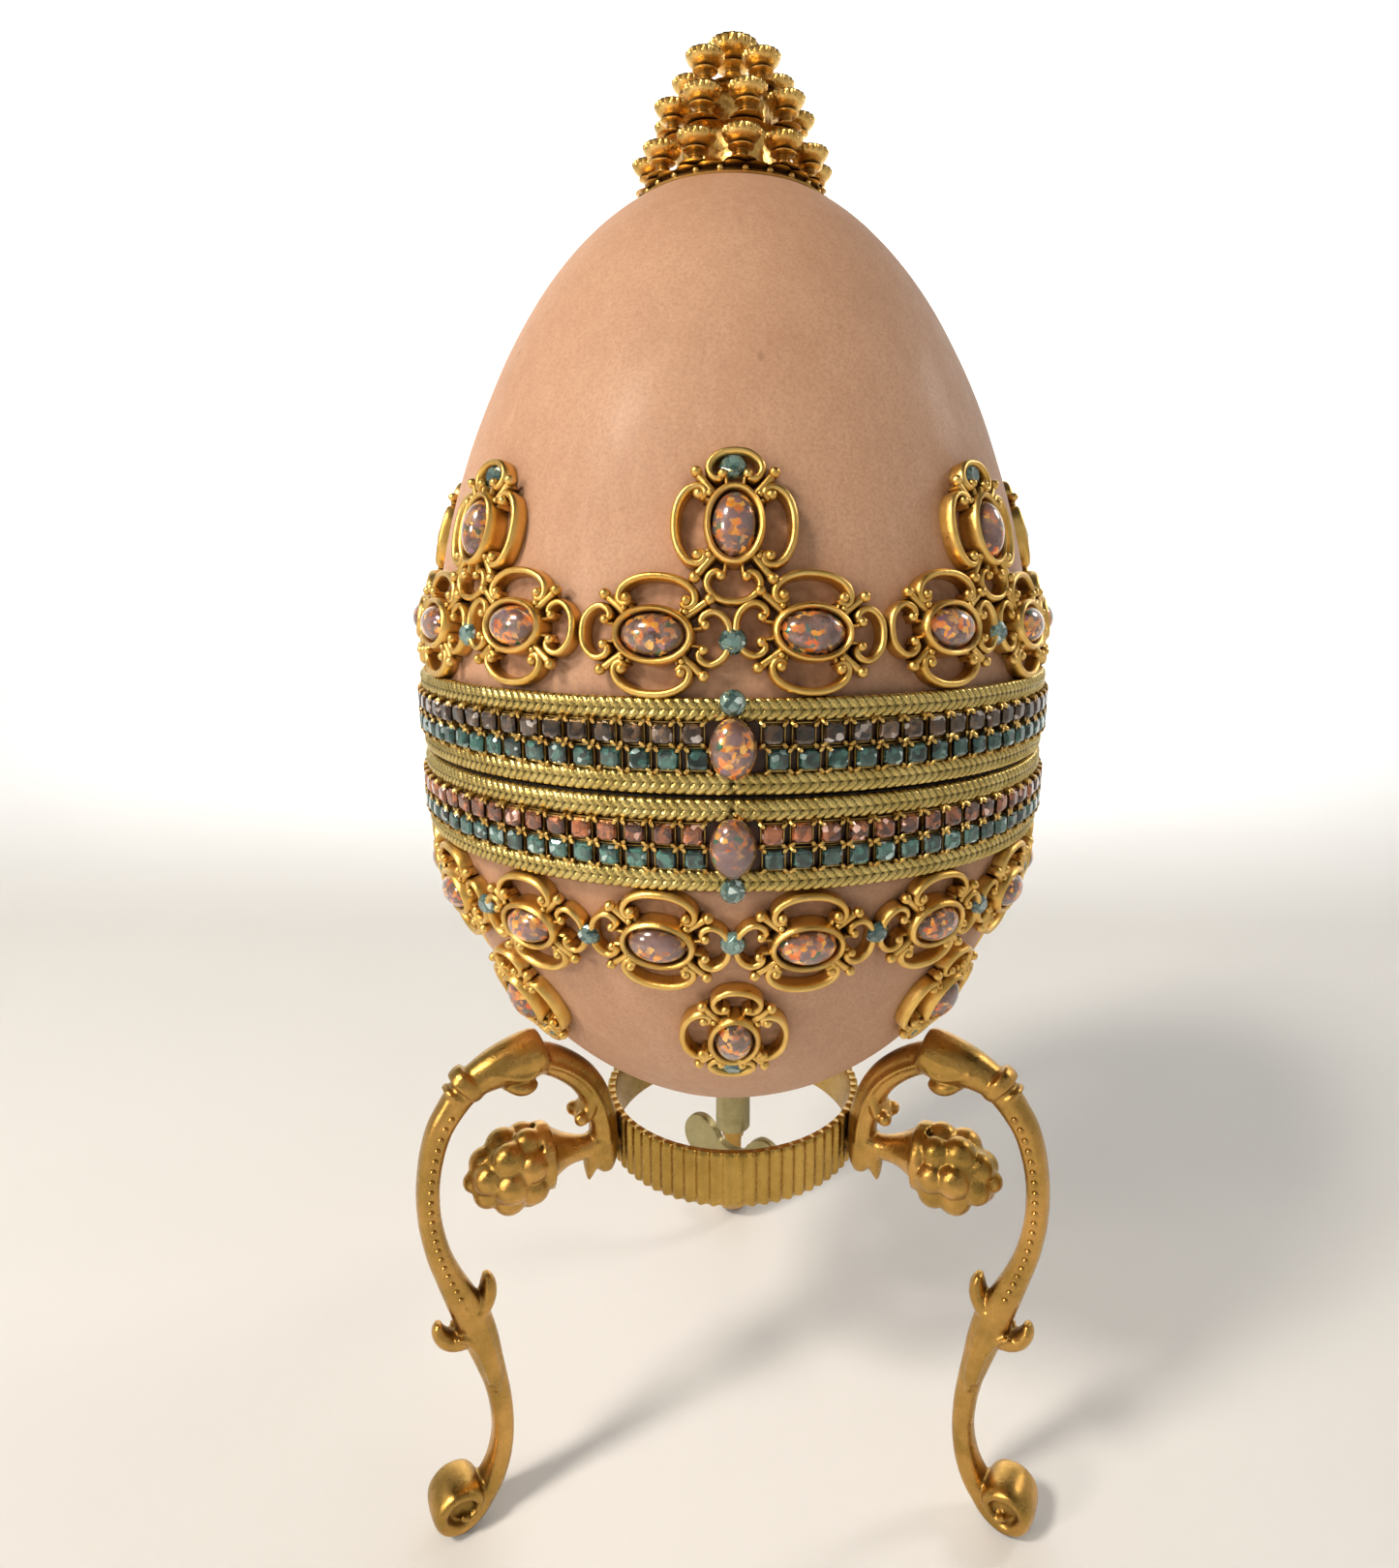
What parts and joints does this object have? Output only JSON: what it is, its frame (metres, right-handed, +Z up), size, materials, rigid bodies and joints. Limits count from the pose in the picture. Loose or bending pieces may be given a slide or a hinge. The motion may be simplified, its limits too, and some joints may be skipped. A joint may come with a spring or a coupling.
{
  "type": "jewelled egg box on a stand",
  "caption": "Painted eggshell box hinged at its widest part, trimmed with braid, stone chain and gilt medallions, with a winding key below, resting in a three-legged scrolled stand.",
  "frame": {"origin": "on the egg's axis, on the surface that the three feet stand on", "axes": "+Z up along the egg's axis; the clasp faces -Y and the hinge +Y; +X to the right seen from the clasp"},
  "size_m": [0.0822, 0.0881, 0.1862],
  "materials": {
    "shell_paint": "matte hand-painted eggshell, peach pink",
    "lining_velvet": "dark red velvet",
    "tray_wood": "bare thin board",
    "braid_gold": "metallic thread braid",
    "chain_gold": "bright gilt cups",
    "stone_smoky": "smoky topaz cut glass",
    "stone_rose": "rose peach cut glass",
    "stone_aqua": "aqua cut glass",
    "stone_pale_aqua": "pale aqua flat-back glass",
    "medal_gold": "polished antique gilt",
    "opal_glass": "opal glass with foil flecks",
    "stand_gold": "burnished gilt casting",
    "finial_gold": "antique gilt casting",
    "hinge_brass": "plain brass",
    "key_brass": "plain brass, slightly tarnished",
    "movement_zinc": "cast zinc plate",
    "movement_steel": "bright steel",
    "movement_brass": "bright brass"
  },
  "bodies": {
    "stand": {"leg_rivets": "stand_gold", "stand_leg_1": "stand_gold", "stand_leg_2": "stand_gold", "stand_leg_3": "stand_gold", "stand_ring": "stand_gold"},
    "egg_base": {"base_braid_far": "braid_gold", "base_braid_near": "braid_gold", "base_cabochons": "opal_glass", "base_chain_cups": "chain_gold", "base_clasp_cabochon": "opal_glass", "base_clasp_stone": "stone_pale_aqua", "base_end_medallions": "medal_gold", "base_hinge_leaf": "hinge_brass", "base_pad": "lining_velvet", "base_shell": "shell_paint", "base_side_medallions": "medal_gold", "base_small_stones": "stone_pale_aqua", "base_stones_far": "stone_aqua", "base_stones_near": "stone_rose", "base_wall_lining": "lining_velvet", "comb": "movement_steel", "comb_block": "movement_zinc", "comb_screws": "movement_steel", "drum_bearings": "movement_zinc", "governor_bracket": "movement_zinc", "hinge_pin": "hinge_brass", "key_bushing": "key_brass", "movement_bedplate": "movement_zinc", "movement_board": "tray_wood", "spring_housing": "movement_steel", "tray": "tray_wood"},
    "lid": {"finial_core": "finial_gold", "finial_foot": "finial_gold", "finial_studs_high": "finial_gold", "finial_studs_low": "finial_gold", "finial_studs_mid": "finial_gold", "finial_top_stud": "finial_gold", "lid_braid_far": "braid_gold", "lid_braid_near": "braid_gold", "lid_cabochons": "opal_glass", "lid_chain_cups": "chain_gold", "lid_clasp_cabochon": "opal_glass", "lid_clasp_stone": "stone_pale_aqua", "lid_end_medallions": "medal_gold", "lid_hinge_leaf": "hinge_brass", "lid_lining": "lining_velvet", "lid_shell": "shell_paint", "lid_side_medallions": "medal_gold", "lid_small_stones": "stone_pale_aqua", "lid_stones_far": "stone_smoky", "lid_stones_near": "stone_aqua"},
    "winding_key": {"key_stem": "key_brass", "key_wings": "key_brass", "great_wheel": "movement_brass"},
    "drum": {"drum_axle": "movement_steel", "pin_drum": "movement_brass", "drum_pinion": "movement_brass", "drum_spur": "movement_brass"},
    "governor": {"governor_worm": "movement_steel", "governor_fan": "movement_brass"}
  },
  "joints": [
    {"name": "egg_lift", "type": "slide", "parent": "stand", "child": "egg_base", "axis": [0, 0, 1], "range_m": [0, 0.06]},
    {"name": "lid_hinge", "type": "hinge", "parent": "egg_base", "child": "lid", "pos_m": [0, 0.0406, 0.1064], "axis": [-1, 0, 0], "range_deg": [0, 100]},
    {"name": "key_turn", "type": "hinge", "parent": "egg_base", "child": "winding_key", "pos_m": [0, 0, 0.05], "axis": [0, 0, 1], "continuous": true},
    {"name": "drum_turn", "type": "hinge", "parent": "egg_base", "child": "drum", "pos_m": [0.0106, 0, 0.082], "axis": [1, 0, 0], "continuous": true},
    {"name": "governor_turn", "type": "hinge", "parent": "egg_base", "child": "governor", "pos_m": [0.0225, 0.007, 0.08], "axis": [0, 0, 1], "continuous": true}
  ],
  "couplings": [
    {"joint": "drum_turn", "follows": "key_turn", "ratio": 4},
    {"joint": "governor_turn", "follows": "key_turn", "ratio": 24}
  ]
}
